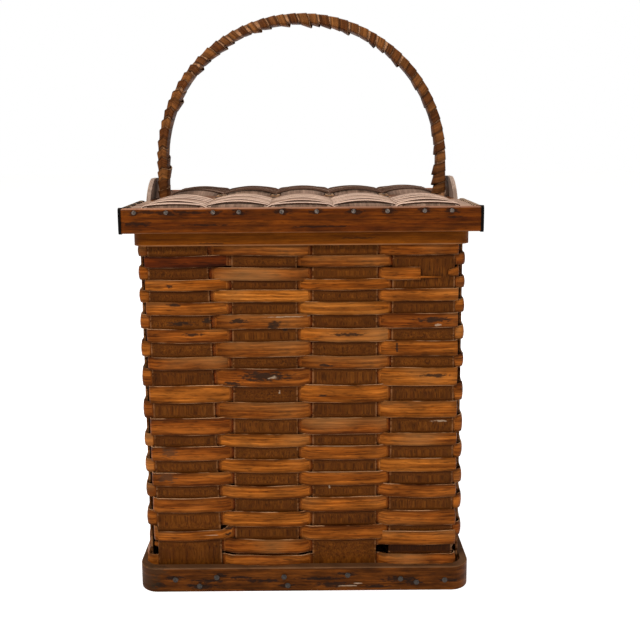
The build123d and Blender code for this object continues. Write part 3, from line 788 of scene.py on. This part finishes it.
stake_nodes = [
    f"{wall}_stake_{number}"
    for wall, count in (("front", 4), ("right", 3), ("back", 4), ("left", 3))
    for number in range(1, count + 1)
]
for number, node in enumerate(stake_nodes):
    low_corner, high_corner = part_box(node)
    bottom, top = low_corner[2] / MM, high_corner[2] / MM
    path = []
    for step in range(STAKE_STEPS + 1):
        height = bottom + (top - bottom) * step / STAKE_STEPS
        low, high = stake_edges(number, min(max(height, STAKE_FOOT), STAKE_TOP))
        first, _ = wall_line(low, 0, height)
        last, outward = wall_line((low + high) / 2, 0, height)
        half = last - first
        half -= outward * half.dot(outward)
        shade = 0.65 + 0.35 * noise.noise(Vector((number * 3.1, height * 0.03, 0)))
        # Painted shade below and above the weavers that cross this stake
        shade *= 1 - weaver_shade_on_stake(number, height)
        path.append((last, half, outward * 0.12, shade))
    strip = splint("splint_" + node, path, 8, thickness=1.6, easing=0.25)
    piece = gather("stood_" + node, [strip], stake_wood)
    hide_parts(node)
    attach(piece, "basket")
print("stakes stand on the base")

# %% [markdown]
# ## Over and under
# A course lies outside one stake and inside the next. How far it stands off the middle line is a
# function of the way walked, and so is what happened to it since: some floats were pushed up,
# one is torn, and the third course is broken near the right-hand corner.

# %% Over and under
TUCKED_CORNER = ((0.0, 1.5), (0.12, 1.5), (0.22, 0.3), (0.5, -2.9), (0.78, -3.5), (1.0, -3.6))
PROUD_CORNER = ((0.0, -1.4), (0.25, -0.6), (0.5, 0.6), (0.75, 1.3), (1.0, 1.4))


def corner_offset(part, tucked):
    """Off the middle line in a corner, `part` of the way from the long wall to the short one."""
    line = TUCKED_CORNER if tucked else PROUD_CORNER
    for (before, low), (after, high) in zip(line, line[1:]):
        if part <= after:
            return low + (high - low) * (part - before) / (after - before)
    return line[-1][1]


def weave_offset(course, walked, height):
    """How far a course is off the middle line, the stake it is at, and its way to the next."""
    for number in range(len(stakes)):
        low, high = stake_edges(number, height)
        side = 1 if (number + course) % 2 == 0 else -1
        position = (walked - low) % AROUND
        if position <= high - low:
            belly = math.sin(math.pi * position / (high - low)) ** 2
            crown = CROWN if side < 0 or number in FRONT_AND_BACK else SIDE_CROWN
            out = side * (WEAVE + crown * belly)
            if side < 0 and SHORT_WALL_ENDS.get(number):
                from_corner = (position, high - low - position)[SHORT_WALL_ENDS[number] < 0]
                out -= 2.2 * max(1 - from_corner / 9, 0) ** 2
            return out, number, 0.0
        following, _ = stake_edges(number + 1, height)
        gap = (following - high) % AROUND
        if position <= high - low + gap:
            part = (position - (high - low)) / gap
            value = side * WEAVE * (1 - 2 * eased(part))
            if number in CORNER_GAPS:
                leading = CORNER_GAPS[number]
                value = corner_offset(part if leading > 0 else 1 - part, side == leading)
            return value, number, part
    return 0.0, 0, 0.0


def course_stations(course, height, start, length):
    """Places along a course: close together where it bends, further apart on the flat."""
    walked, places = start, []
    while walked < start + length:
        places.append(walked)
        _, number, part = weave_offset(course, walked, height)
        low, high = stake_edges(number, height)
        inside = min((walked - low) % AROUND, (high - walked) % AROUND)
        walked += 0.9 if part > 0 else 1.8 if inside < 4 else 4.0
    return places + [start + length]


# How dark or bright some floats of the front are, by course and stake
SEEN_TONES = {
    (1, 1): 0.5, (2, 0): 0.1, (2, 2): 0.5, (3, 1): 0.42, (3, 3): 0.6, (4, 0): 0.72, (4, 2): 0.68,
    (5, 1): 0.92, (5, 3): 0.68, (6, 0): 0.6, (6, 2): 0.85, (7, 1): 0.5, (7, 3): 0.36,
    (8, 0): 0.5, (8, 2): 0.66, (9, 1): 0.5, (9, 3): 0.62, (10, 0): 0.38, (10, 2): 0.5,
    (11, 1): 0.44, (11, 3): 0.74, (12, 0): 0.8, (12, 2): 0.74, (13, 3): 0.72, (14, 0): 0.42,
    (16, 0): 0.42, (18, 0): 0.5, (19, 1): 0.62, (22, 0): 0.6, (25, 3): 0.42,
}


def handling(course, x):
    """What happened to a course on the front: how far it was pushed up, and its width left."""
    if course == 23:
        return 5.0 * eased_step(x, 40, 57) * (1 - eased_step(x, 103, 110)), 1.0
    if course == 3:
        before_corner = 1 - eased_step(x, 98, 106)
        return -0.9 * before_corner, 0.4 + 0.6 * (1 - eased_step(x, 82, 90) * before_corner)
    if course == 12:
        return 0.3, 1.05
    if course == 22:
        torn = 1 - eased_step(x, -58, -50)
        return -1.6 * torn, 1 - 0.32 * torn
    if course == 19:
        return 0.6 * math.sin(x * 0.05), 1.0
    if course == 17:
        return 0.25, 1.04
    return 0.0, 1.0


def course_strip(course, start, length, lap=True):
    """One course from `start`, `length` along the wall."""
    bottom, top = heights[course]
    middle = (bottom + top) / 2
    own = random.Random(course * 7)
    base = own.uniform(0.42, 0.66)
    tones = [min(max(base + own.uniform(-0.16, 0.16), 0.0), 1.0) for _ in stakes]
    path = []
    for walked in course_stations(course, middle, start, length):
        out, number, part = weave_offset(course, walked, middle)
        place = walked % AROUND
        wander = 0.75 * noise.noise(Vector((place * 0.021, middle * 0.02, 1.5)))
        wander += 0.25 * noise.noise(Vector((place * 0.04, course * 5.3, 0)))
        tilt = 0.09 * noise.noise(Vector((place * 0.03, course * 3.7, 8)))
        swell = 1.065 + 0.04 * noise.noise(Vector((place * 0.05, course * 2.9, 4)))
        if lap:
            out -= 1.15 * min(max((walked - start - length + 16) / 6, 0), 1)
        float_number = number if (number + course) % 2 == 0 else number + 1
        float_number %= len(stakes)
        shade = SEEN_TONES.get((course, float_number), tones[float_number])
        # Painted shade where the course dives behind a stake
        shade *= 1 - 0.8 * eased_step(-out, 0.95, 1.38)
        pushed, share = 0.0, 1.0
        if place < LONG + TURN:
            pushed, share = handling(course, place - LONG / 2)
        centre, outward = wall_line(walked, out, middle + wander + pushed)
        half = (UP + outward * tilt) * (top - bottom) / 2 * swell * share
        if course == 25:
            flare = eased_step(out, 0.9, 2.0)
            centre += (UP * 2.0 + outward * 1.3) * flare
            half -= (UP * 1.7 + outward * 1.5) * flare
        cornering = part if number in CORNER_GAPS and out > 0 else 0.0
        belly = outward * (0.14 + 0.7 * math.sin(math.pi * cornering))
        path.append((centre, half, belly, shade))
    return splint(f"course_{course}", path, 4, thickness=1.0)


# %% Weave the courses
def hidden_start(course):
    """A course starts behind a stake in the middle of the back wall."""
    number = 8 if course % 2 else 9
    low, high = stake_edges(number, heights[course][0])
    return (low + high) / 2 - 7


def front_place(x):
    return x + LONG / 2


courses = {}
for course in heights:
    if course == 3:
        start, finish = front_place(97.5), front_place(79.0) + AROUND
        courses[course] = course_strip(course, start, finish - start, lap=False)
    elif course == 23:
        courses[course] = course_strip(course, front_place(-98.0), AROUND - 17, lap=False)
    else:
        courses[course] = course_strip(course, hidden_start(course), AROUND + 14)
bottom, top = heights[3]
sliver = []
for x in range(-3, 14):
    place = front_place(80.0 + x)
    centre, outward = wall_line(place, 2.2 - 0.08 * x, bottom + 0.7 - 0.02 * x)
    width = 0.8 * (1 - max(x, 0) / 18)
    sliver.append((centre, UP * width, outward * 0.1, 0.62))
stub = []
for x in range(9):
    centre, outward = wall_line(front_place(-105.0 + x), -0.9, 31.0 - 0.06 * x)
    stub.append((centre, UP * (1.6 + 0.08 * x), outward * 0.1, 0.6))
slivers = {
    3: splint("sliver", sliver, 2, thickness=0.6), 23: splint("stub", stub, 2, thickness=0.7),
}
for node in [n for n in nodes if n.startswith("weaver_courses")]:
    first, last = (int(part) for part in node.split("_")[2:])
    strips = [courses[number] for number in range(first, last + 1) if number in courses]
    strips += [slivers[number] for number in slivers if first <= number <= last]
    piece = gather("woven_" + node[7:], strips, weaver_wood)
    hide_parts(node)
    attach(piece, "basket")
    print(piece.name, len(piece.data.polygons), "faces")

# %% [markdown]
# ## The lids' stakes
# Five wide splints run from the hinge to the front board of a lid. Each curls round the hinge rod,
# lies over the lid and turns down behind the board. Wet splint dries cupped, which gives the lid
# its row of soft humps, so the strip is lifted along its middle and flat only where it is held,
# and beside the hinge, where an open lid stands close to the edge of the centre board.

# %% Stakes of the lids
LID_MIDDLE, ROD_Y, ROD_Z, CURL = 267.09, 21.5, 264.42, 2.67
TAIL_Y, TAIL_BEND, TAIL_END = 83.85, 1.85, 250.9
LID_STAKES, LID_STAKE_HALF = (-84.0, -42.0, 0.0, 42.0, 84.0), 16.9
LIDS = ((-1, "front_lid"), (1, "back_lid"))


def lid_stake_line():
    """The stake's middle in the YZ plane, away from the hinge, with how far it is cupped."""
    line = []
    for step in range(15):
        angle = math.radians(-15 - 255 * step / 14)
        line.append((ROD_Y + CURL * math.cos(angle), ROD_Z + CURL * math.sin(angle), 0.0))
    reach = TAIL_Y - TAIL_BEND
    for step in range(1, 29):
        out = ROD_Y + (reach - ROD_Y) * step / 28
        from_hinge = min(max(out - ROD_Y - 1.8, 0) / 3.2, 1.0)
        from_board = 0.45 + 0.55 * min((reach - out) / 12, 1.0)
        line.append((out, LID_MIDDLE, (2.5 - (out - ROD_Y) / 70) * from_hinge * from_board))
    for step in range(1, 7):
        angle = math.radians(90 - 90 * step / 6)
        out = reach + TAIL_BEND * math.cos(angle)
        height = LID_MIDDLE - TAIL_BEND * (1 - math.sin(angle))
        line.append((out, height, 0.85 * (1 - step / 6)))
    line.append((TAIL_Y, TAIL_END, 0.0))
    return line


def lid_stake(lid, side, number):
    path = []
    shade = random.Random(number * 5 + side).uniform(0.2, 0.8)
    for out, height, cup in lid_stake_line():
        centre = Vector((LID_STAKES[number], side * out, height))
        path.append((centre, Vector((LID_STAKE_HALF, 0, 0)), UP * cup, shade))
    return splint(f"{lid}_stake_{number}", path, 10, thickness=1.3, easing=0.2)


for side, lid in LIDS:
    strips = [lid_stake(lid, side, number) for number in range(5)]
    piece = gather(lid + "_cupped_stakes", strips, lid_stake_wood)
    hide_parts(lid + "_stakes")
    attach(piece, lid)
print("lid stakes laid")

# %% [markdown]
# ## The lids' weavers
# Twelve narrow splints cross the stakes of each lid. Over a stake they arch high and under it they
# lie flat, and next to one another they take opposite turns. Seen low from the front, arch stands
# behind arch, and the dark lines between them fan down into the valleys.

# %% Weavers of the lids
LID_ROWS, FIRST_ROW, ROW_PITCH = 12, 27.52, 4.844
UNDER_Z, OVER_Z, HUMP_REACH = 265.84, 268.34, 17.8
WEAVER_END, WEAVER_HALF, WEAVER_STEPS, END_REACH = 117.3, 2.28, 150, 4.0


def lid_weaver_height(row, x, crown):
    """Height of a row at x, and the number of the stake that it is nearest to."""
    number = min(range(5), key=lambda n: abs(x - LID_STAKES[n]))
    away = abs(x - LID_STAKES[number])
    over = (number + row) % 2 == 1
    if away <= HUMP_REACH:
        level = OVER_Z + crown * (1 - (away / HUMP_REACH) ** 2) if over else UNDER_Z
        return level, number
    start, end = (OVER_Z, UNDER_Z) if over else (UNDER_Z, OVER_Z)
    part = (away - HUMP_REACH) / (21.0 - HUMP_REACH) / 2
    if abs(x) > LID_STAKES[-1]:
        end = UNDER_Z
        part = min((away - HUMP_REACH) / END_REACH, 1.0)
    return start + (end - start) * eased(part), number


def lid_weaver(lid, side, row):
    own = random.Random(row * 13 + side)
    crown = 2.9 - 1.1 * row / (LID_ROWS - 1) + own.uniform(-0.4, 0.4)
    if row == LID_ROWS - 1:
        crown -= 0.75
    tones = [own.uniform(0.1, 0.9) for _ in LID_STAKES]
    row_y = FIRST_ROW + ROW_PITCH * row
    path = []
    for step in range(WEAVER_STEPS + 1):
        x = -WEAVER_END + 2 * WEAVER_END * step / WEAVER_STEPS
        height, number = lid_weaver_height(row, x, crown)
        drift = 0.35 * noise.noise(Vector((x * 0.03, row * 4.1, side)))
        tilt = 0.1 + 0.12 * noise.noise(Vector((x * 0.02, row * 2.3, 5 * side)))
        centre = Vector((x, side * (row_y + drift), height))
        half = Vector((0, side, -tilt)).normalized() * WEAVER_HALF
        path.append((centre, half, UP * 0.12, tones[number]))
    return splint(f"{lid}_weaver_{row}", path, 3, thickness=0.95, easing=0.14)


for side, lid in LIDS:
    strips = [lid_weaver(lid, side, row) for row in range(LID_ROWS)]
    piece = gather(lid + "_arched_weavers", strips, lid_wood)
    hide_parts(lid + "_weavers")
    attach(piece, lid)
    print(piece.name, len(piece.data.polygons), "faces")

# %% [markdown]
# ## The wound handle
# The bow was steamed and bent, lined with pale splint, and wound with one long dark splint. The
# turns hardly touch, so the lining shows between them, and over the years some have lifted
# on the inside. The winding is one strip on a helix round the bow's section. Its turns are uneven,
# and down the left leg each is creased along the middle.

# %% The bow's line
SPRING_Z, BOW_RADIUS, BOW_FOOT = 294.4, 104.2, 266.8
BOW_LEG = SPRING_Z - BOW_FOOT
BOW_LENGTH = math.pi * BOW_RADIUS + 2 * BOW_LEG


def bow_line(along):
    """Place on the bow, its direction and its outward direction, `along` from the right foot."""
    if along <= BOW_LEG:
        return Vector((BOW_RADIUS, 0, BOW_FOOT + along)), UP, Vector((1, 0, 0))
    if along >= BOW_LENGTH - BOW_LEG:
        height = SPRING_Z - along + BOW_LENGTH - BOW_LEG
        return Vector((-BOW_RADIUS, 0, height)), -UP, Vector((-1, 0, 0))
    angle = (along - BOW_LEG) / BOW_RADIUS
    outward = Vector((math.cos(angle), 0, math.sin(angle)))
    direction = Vector((-math.sin(angle), 0, math.cos(angle)))
    return UP * SPRING_Z + outward * BOW_RADIUS, direction, outward


# %% Lining along the four faces of the bow
LINING_OUT, LINING_SIDE, LINING_HALF, LINING_STEPS = 2.72, 6.2, 2.7, 120
linings = []
for out, sideways in ((LINING_OUT, 0), (-LINING_OUT, 0), (0, -LINING_SIDE), (0, LINING_SIDE)):
    path = []
    for step in range(LINING_STEPS + 1):
        place, _, outward = bow_line(BOW_LENGTH * step / LINING_STEPS)
        centre = place + outward * out + Vector((0, sideways, 0))
        half = outward * LINING_HALF if sideways else Vector((0, LINING_SIDE, 0))
        path.append((centre, half, FLAT, 0.5))
    linings.append(splint("lining", path, 2, thickness=0.4, easing=0.1))
piece = gather("handle_lining", linings, bow_lining_wood)
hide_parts("handle_wrap")
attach(piece, "basket")

# %% The winding
TURNS, WIND_DEEP, WIND_THICK = 50, 6.93, 3.1
UNEVEN, FOLD, CREASE = 1.3, 3.4, 0.8
wind = random.Random(23)
lifts = [max(0.0, wind.uniform(-0.7, 2.3)) for _ in range(TURNS + 1)]
widths = [3.15 + wind.uniform(-0.7, 0.5) for _ in range(TURNS + 1)]


def rounded_square(turn, power):
    """A point on a square with rounded corners, `turn` from its top: sideways and up."""
    sideways, up = math.sin(turn), math.cos(turn)
    size = (abs(sideways) ** power + abs(up) ** power) ** (-1 / power)
    return sideways * size, up * size


path = []
STEPS = 28
for step in range(TURNS * STEPS + 1):
    turn, part = divmod(step, STEPS)
    along = BOW_LENGTH * (step + 4) / (TURNS * STEPS + 8)
    angle = part / STEPS * 2 * math.pi
    sideways, out = rounded_square(angle, 5)
    sideways, out = sideways * WIND_DEEP, out * WIND_THICK
    across = abs(out) / WIND_THICK
    held = eased_step(along, 4, 25) * (1 - eased_step(along, BOW_LENGTH - 25, BOW_LENGTH - 4))
    folded = held * eased_step(-bow_line(along)[0].x, 60, 98)
    shift = held * UNEVEN * noise.noise(Vector((along * 0.11, 2.2, 0)))
    along += shift + folded * FOLD * (across - 0.5)
    place, direction, outward = bow_line(along)
    beside = Vector((0, sideways, 0))
    normal = (outward * out / WIND_THICK ** 2 + beside / WIND_DEEP ** 2).normalized()
    facing = math.cos(angle)
    loose = lifts[turn] * max(0.0, -facing) ** 1.5
    leftwards = max(0.0, -place.x / BOW_RADIUS - 0.1)
    shingled = (0.35 + 0.9 * leftwards) * max(0.0, facing) ** 2
    width = widths[turn] + 0.6 * eased_step(abs(place.x), 60, 95)
    half = direction * width - normal * (0.5 * loose + shingled)
    creased = CREASE * folded * math.sin(math.pi * across)
    centre = place + outward * out + beside + normal * (loose + creased)
    shade = 0.5 + 0.45 * math.sin(turn * 2.4 + 1.3)
    path.append((centre, half, FLAT, shade))
winding = splint("winding", path, 2, thickness=0.75, easing=0.1)
piece = gather("handle_winding", [winding], wrap_wood)
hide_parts("handle_wrap")
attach(piece, "basket")
print("handle wound with", TURNS, "turns")

# %% [markdown]
# ## The lashing
# The lid's side rail is tied to the ends of its weavers by one narrow splint that goes round and
# round. It is old, and its folds are painted nearly black, as shade. Each of its ten loops is a
# strip on a closed path, a rounded box round the rail and the weavers' ends, with a lean of its
# own.

# %% Loops round the side rails
RAIL_X, RAIL_HALF, LOOP_LOW, LOOP_HIGH = 115.6, 2.5, 256.75, 267.0
LOOP_HALF, FIRST_LOOP, LOOP_PITCH = 1.75, 29.6, 5.75


def lashing_loop(end, side, y, lean, top_shade):
    path = []
    middle_z, half_z = (LOOP_LOW + LOOP_HIGH) / 2, (LOOP_HIGH - LOOP_LOW) / 2
    for step in range(25):
        turn = 2 * math.pi * step / 24
        out, up = math.sin(turn), math.cos(turn)
        across, rise = rounded_square(turn, 4)
        x, z = end * (RAIL_X + across * RAIL_HALF), middle_z + rise * half_z
        centre = Vector((x, side * (y + lean * up), z))
        # Painted shade: all of a loop but its top is dark
        shade = top_shade if up > 0.5 and out < 0.75 else 0.12
        path.append((centre, Vector((0, side * LOOP_HALF, 0)), FLAT, shade))
    return splint("loop", path, 2, thickness=0.8, easing=0.1)


for side, lid in LIDS:
    loops = []
    own = random.Random(31 + side)
    for end in (-1, 1):
        for number in range(10):
            y = FIRST_LOOP + LOOP_PITCH * number + own.uniform(-0.3, 0.3)
            # Painted shade: the tops of most loops on the left are dark too
            top_shade = 0.85 if end > 0 or number % 3 == 1 else 0.1
            loops.append(lashing_loop(end, side, y, own.uniform(0.6, 1.4), top_shade))
    piece = gather(lid + "_lashing_loops", loops, lashing_wood)
    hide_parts(lid + "_lashing")
    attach(piece, lid)
print("side rails lashed")

# %% [markdown]
# ## Loops at the ends of the front boards
# A loop of the lashing's splint holds each end of a lid's front board.
# It is painted near black, as shade.

# %% Loops at the board ends
END_X, END_Y, END_Z, END_DEEP, END_HIGH, END_HALF = 117.55, 86.55, 258.75, 2.25, 8.45, 0.95
for side, lid in LIDS:
    loops = []
    for end in (-1, 1):
        path = []
        for step in range(33):
            out, up = rounded_square(2 * math.pi * step / 32, 7)
            y, z = side * (END_Y + END_DEEP * out), END_Z + END_HIGH * up
            # Tone 0 paints the loop near black, as shade
            path.append((Vector((end * END_X, y, z)), Vector((END_HALF, 0, 0)), FLAT, 0.0))
        loops.append(splint(f"{lid}_end_{end}", path, 2, thickness=0.5, easing=0.1))
    piece = gather(lid + "_end_loops", loops, lashing_wood)
    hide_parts(lid + "_lashing")
    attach(piece, lid)
print("board ends tied")
